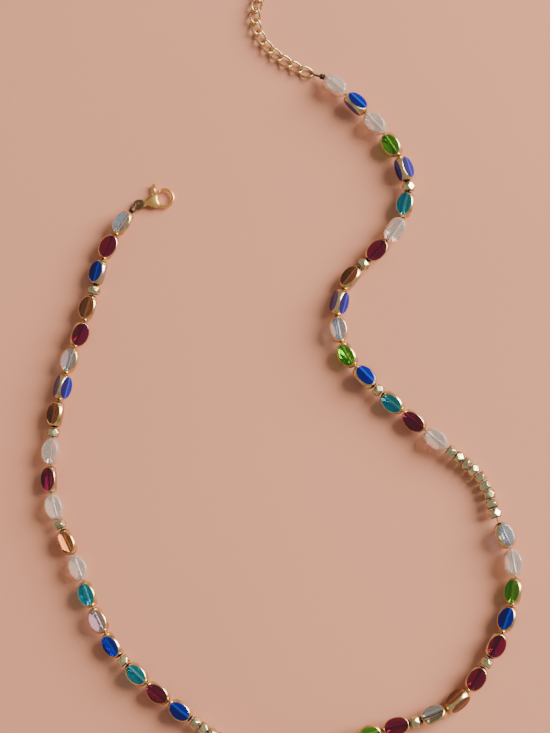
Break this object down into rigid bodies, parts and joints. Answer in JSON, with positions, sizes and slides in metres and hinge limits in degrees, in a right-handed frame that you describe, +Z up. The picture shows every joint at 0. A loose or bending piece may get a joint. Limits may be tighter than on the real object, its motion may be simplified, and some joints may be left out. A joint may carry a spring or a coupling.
{
  "type": "eyeglasses chain strap",
  "caption": "Beaded neck strap: table-cut glass ovals and nugget spacers on a wire, with a lobster clasp and a curb-chain extender.",
  "frame": {"origin": "centre of the laid-out strap's box, on the surface that it lies on", "axes": "+Z up from the table, +Y from the strand's lowest curve towards the chain, +X to the right as it is seen from above"},
  "size_m": [0.1418, 0.2394, 0.006],
  "materials": {
    "table_cut_glass": "fire-polished, part gilt",
    "nugget_metal": "antique gold",
    "wire_steel": "nylon-coated",
    "crimp_metal": "darkened",
    "clasp_metal": "polished gold plate",
    "chain_metal": "polished gold plate"
  },
  "bodies": {
    "strand_01": {"oval_beads_01": "table_cut_glass", "crimp_clasp_end": "crimp_metal"},
    "strand_02": {"oval_beads_02": "table_cut_glass", "nugget_beads_02": "nugget_metal"},
    "strand_03": {"oval_beads_03": "table_cut_glass"},
    "strand_04": {"oval_beads_04": "table_cut_glass", "nugget_beads_04": "nugget_metal"},
    "strand_05": {"oval_beads_05": "table_cut_glass", "nugget_beads_05": "nugget_metal"},
    "strand_06": {"oval_beads_06": "table_cut_glass"},
    "strand_07": {"oval_beads_07": "table_cut_glass", "nugget_beads_07": "nugget_metal"},
    "strand_08": {"nugget_beads_08": "nugget_metal"},
    "strand_09": {"nugget_beads_09": "nugget_metal"},
    "strand_10": {"oval_beads_10": "table_cut_glass", "beading_wire": "wire_steel"},
    "strand_11": {"oval_beads_11": "table_cut_glass", "nugget_beads_11": "nugget_metal"},
    "strand_12": {"oval_beads_12": "table_cut_glass"},
    "strand_13": {"oval_beads_13": "table_cut_glass", "nugget_beads_13": "nugget_metal"},
    "strand_14": {"oval_beads_14": "table_cut_glass"},
    "strand_15": {"nugget_beads_15": "nugget_metal"},
    "strand_16": {"nugget_beads_16": "nugget_metal"},
    "strand_17": {"oval_beads_17": "table_cut_glass"},
    "strand_18": {"oval_beads_18": "table_cut_glass", "nugget_beads_18": "nugget_metal"},
    "strand_19": {"oval_beads_19": "table_cut_glass"},
    "strand_20": {"oval_beads_20": "table_cut_glass", "nugget_beads_20": "nugget_metal"},
    "strand_21": {"oval_beads_21": "table_cut_glass"},
    "strand_22": {"oval_beads_22": "table_cut_glass", "crimp_chain_end": "crimp_metal"},
    "clasp": {"clasp_body": "clasp_metal", "clasp_rivet": "clasp_metal", "clasp_spring": "wire_steel"},
    "clasp_lever": {"clasp_lever": "clasp_metal"},
    "end_link": {"end_link": "chain_metal"},
    "chain_link_01": {"chain_link_01": "chain_metal"},
    "chain_link_02": {"chain_link_02": "chain_metal"},
    "chain_link_03": {"chain_link_03": "chain_metal"},
    "chain_link_04": {"chain_link_04": "chain_metal"},
    "chain_link_05": {"chain_link_05": "chain_metal"},
    "chain_link_06": {"chain_link_06": "chain_metal"},
    "chain_link_07": {"chain_link_07": "chain_metal"},
    "chain_link_08": {"chain_link_08": "chain_metal"},
    "chain_link_09": {"chain_link_09": "chain_metal"},
    "chain_link_10": {"chain_link_10": "chain_metal"},
    "chain_link_11": {"chain_link_11": "chain_metal"},
    "chain_link_12": {"chain_link_12": "chain_metal"},
    "chain_link_13": {"chain_link_13": "chain_metal"}
  },
  "joints": [
    {"name": "clasp_lever_open", "type": "hinge", "parent": "clasp", "child": "clasp_lever", "pos_m": [-0.0388, 0.04593, 0.0011], "axis": [0, 0, 1], "range_deg": [0, 22], "stiffness_Nm_per_rad": 0.004, "springref_deg": -17.19, "deforming": ["clasp_spring"]},
    {"name": "clasp_swivel", "type": "hinge", "parent": "strand_01", "child": "clasp", "pos_m": [-0.04288, 0.04494, 0.0011], "axis": [0, 0, 1], "range_deg": [-5, 70]},
    {"name": "end_link_swing", "type": "hinge", "parent": "strand_22", "child": "end_link", "pos_m": [0.0097, 0.08408, 0.00117], "axis": [0, 0, 1], "range_deg": [-10, 10]},
    {"name": "link_01_swing", "type": "hinge", "parent": "end_link", "child": "chain_link_01", "pos_m": [0.00656, 0.08523, 0.00117], "axis": [0, 0, 1], "range_deg": [-10, 10]},
    {"name": "link_02_swing", "type": "hinge", "parent": "chain_link_01", "child": "chain_link_02", "pos_m": [0.00345, 0.08703, 0.00117], "axis": [0, 0, 1], "range_deg": [-10, 10]},
    {"name": "link_03_swing", "type": "hinge", "parent": "chain_link_02", "child": "chain_link_03", "pos_m": [0.00046, 0.08904, 0.00117], "axis": [0, 0, 1], "range_deg": [-10, 10]},
    {"name": "link_04_swing", "type": "hinge", "parent": "chain_link_03", "child": "chain_link_04", "pos_m": [-0.00233, 0.0913, 0.00117], "axis": [0, 0, 1], "range_deg": [-10, 10]},
    {"name": "link_05_swing", "type": "hinge", "parent": "chain_link_04", "child": "chain_link_05", "pos_m": [-0.0047, 0.09402, 0.00117], "axis": [0, 0, 1], "range_deg": [-10, 10]},
    {"name": "link_06_swing", "type": "hinge", "parent": "chain_link_05", "child": "chain_link_06", "pos_m": [-0.00639, 0.0972, 0.00117], "axis": [0, 0, 1], "range_deg": [-10, 10]},
    {"name": "link_07_swing", "type": "hinge", "parent": "chain_link_06", "child": "chain_link_07", "pos_m": [-0.00726, 0.10069, 0.00117], "axis": [0, 0, 1], "range_deg": [-10, 10]},
    {"name": "link_08_swing", "type": "hinge", "parent": "chain_link_07", "child": "chain_link_08", "pos_m": [-0.0072, 0.10429, 0.00117], "axis": [0, 0, 1], "range_deg": [-10, 10]},
    {"name": "link_09_swing", "type": "hinge", "parent": "chain_link_08", "child": "chain_link_09", "pos_m": [-0.00614, 0.10774, 0.00117], "axis": [0, 0, 1], "range_deg": [-10, 10]},
    {"name": "link_10_swing", "type": "hinge", "parent": "chain_link_09", "child": "chain_link_10", "pos_m": [-0.00418, 0.11076, 0.00117], "axis": [0, 0, 1], "range_deg": [-10, 10]},
    {"name": "link_11_swing", "type": "hinge", "parent": "chain_link_10", "child": "chain_link_11", "pos_m": [-0.00164, 0.1133, 0.00117], "axis": [0, 0, 1], "range_deg": [-10, 10]},
    {"name": "link_12_swing", "type": "hinge", "parent": "chain_link_11", "child": "chain_link_12", "pos_m": [0.00131, 0.11537, 0.00117], "axis": [0, 0, 1], "range_deg": [-10, 10]},
    {"name": "link_13_swing", "type": "hinge", "parent": "chain_link_12", "child": "chain_link_13", "pos_m": [0.00449, 0.11706, 0.00117], "axis": [0, 0, 1], "range_deg": [-10, 10]},
    {"name": "strand_bend_01", "type": "hinge", "parent": "strand_02", "child": "strand_01", "pos_m": [-0.05502, 0.02023, 0.003], "axis": [0, 0, 1], "range_deg": [-10, 10], "deforming": ["beading_wire"]},
    {"name": "strand_bend_02", "type": "hinge", "parent": "strand_03", "child": "strand_02", "pos_m": [-0.06121, 0.00182, 0.003], "axis": [0, 0, 1], "range_deg": [-10, 10], "deforming": ["beading_wire"]},
    {"name": "strand_bend_03", "type": "hinge", "parent": "strand_04", "child": "strand_03", "pos_m": [-0.06699, -0.02235, 0.003], "axis": [0, 0, 1], "range_deg": [-10, 10], "deforming": ["beading_wire"]},
    {"name": "strand_bend_04", "type": "hinge", "parent": "strand_05", "child": "strand_04", "pos_m": [-0.06545, -0.04971, 0.003], "axis": [0, 0, 1], "range_deg": [-10, 10], "deforming": ["beading_wire"]},
    {"name": "strand_bend_05", "type": "hinge", "parent": "strand_06", "child": "strand_05", "pos_m": [-0.05775, -0.06756, 0.003], "axis": [0, 0, 1], "range_deg": [-10, 10], "deforming": ["beading_wire"]},
    {"name": "strand_bend_06", "type": "hinge", "parent": "strand_07", "child": "strand_06", "pos_m": [-0.04648, -0.0896, 0.003], "axis": [0, 0, 1], "range_deg": [-10, 10], "deforming": ["beading_wire"]},
    {"name": "strand_bend_07", "type": "hinge", "parent": "strand_08", "child": "strand_07", "pos_m": [-0.02537, -0.1075, 0.003], "axis": [0, 0, 1], "range_deg": [-10, 10], "deforming": ["beading_wire"]},
    {"name": "strand_bend_08", "type": "hinge", "parent": "strand_09", "child": "strand_08", "pos_m": [-0.01315, -0.11467, 0.0021], "axis": [0, 0, 1], "range_deg": [-10, 8], "deforming": ["beading_wire"]},
    {"name": "strand_bend_09", "type": "hinge", "parent": "strand_10", "child": "strand_09", "pos_m": [-0.00201, -0.11692, 0.003], "axis": [0, 0, 1], "range_deg": [-10, 10], "deforming": ["beading_wire"]},
    {"name": "strand_bend_10", "type": "hinge", "parent": "strand_10", "child": "strand_11", "pos_m": [0.02226, -0.11256, 0.003], "axis": [0, 0, 1], "range_deg": [-10, 6], "deforming": ["beading_wire"]},
    {"name": "strand_bend_11", "type": "hinge", "parent": "strand_11", "child": "strand_12", "pos_m": [0.04098, -0.10737, 0.003], "axis": [0, 0, 1], "range_deg": [-10, 6], "deforming": ["beading_wire"]},
    {"name": "strand_bend_12", "type": "hinge", "parent": "strand_12", "child": "strand_13", "pos_m": [0.05946, -0.09193, 0.003], "axis": [0, 0, 1], "range_deg": [-10, 6], "deforming": ["beading_wire"]},
    {"name": "strand_bend_13", "type": "hinge", "parent": "strand_13", "child": "strand_14", "pos_m": [0.06775, -0.0744, 0.003], "axis": [0, 0, 1], "range_deg": [-10, 6], "deforming": ["beading_wire"]},
    {"name": "strand_bend_14", "type": "hinge", "parent": "strand_14", "child": "strand_15", "pos_m": [0.06352, -0.04925, 0.003], "axis": [0, 0, 1], "range_deg": [-10, 6], "deforming": ["beading_wire"]},
    {"name": "strand_bend_15", "type": "hinge", "parent": "strand_15", "child": "strand_16", "pos_m": [0.05808, -0.03626, 0.0021], "axis": [0, 0, 1], "range_deg": [-10, 5], "deforming": ["beading_wire"]},
    {"name": "strand_bend_16", "type": "hinge", "parent": "strand_16", "child": "strand_17", "pos_m": [0.04935, -0.02896, 0.003], "axis": [0, 0, 1], "range_deg": [-10, 6], "deforming": ["beading_wire"]},
    {"name": "strand_bend_17", "type": "hinge", "parent": "strand_17", "child": "strand_18", "pos_m": [0.03052, -0.01267, 0.003], "axis": [0, 0, 1], "range_deg": [-10, 6], "deforming": ["beading_wire"]},
    {"name": "strand_bend_18", "type": "hinge", "parent": "strand_18", "child": "strand_19", "pos_m": [0.02258, -0.00488, 0.003], "axis": [0, 0, 1], "range_deg": [-10, 6], "deforming": ["beading_wire"]},
    {"name": "strand_bend_19", "type": "hinge", "parent": "strand_19", "child": "strand_20", "pos_m": [0.02425, 0.0248, 0.003], "axis": [0, 0, 1], "range_deg": [-10, 6], "deforming": ["beading_wire"]},
    {"name": "strand_bend_20", "type": "hinge", "parent": "strand_20", "child": "strand_21", "pos_m": [0.03862, 0.05014, 0.003], "axis": [0, 0, 1], "range_deg": [-10, 6], "deforming": ["beading_wire"]},
    {"name": "strand_bend_21", "type": "hinge", "parent": "strand_21", "child": "strand_22", "pos_m": [0.02615, 0.07121, 0.003], "axis": [0, 0, 1], "range_deg": [-10, 6], "deforming": ["beading_wire"]}
  ]
}
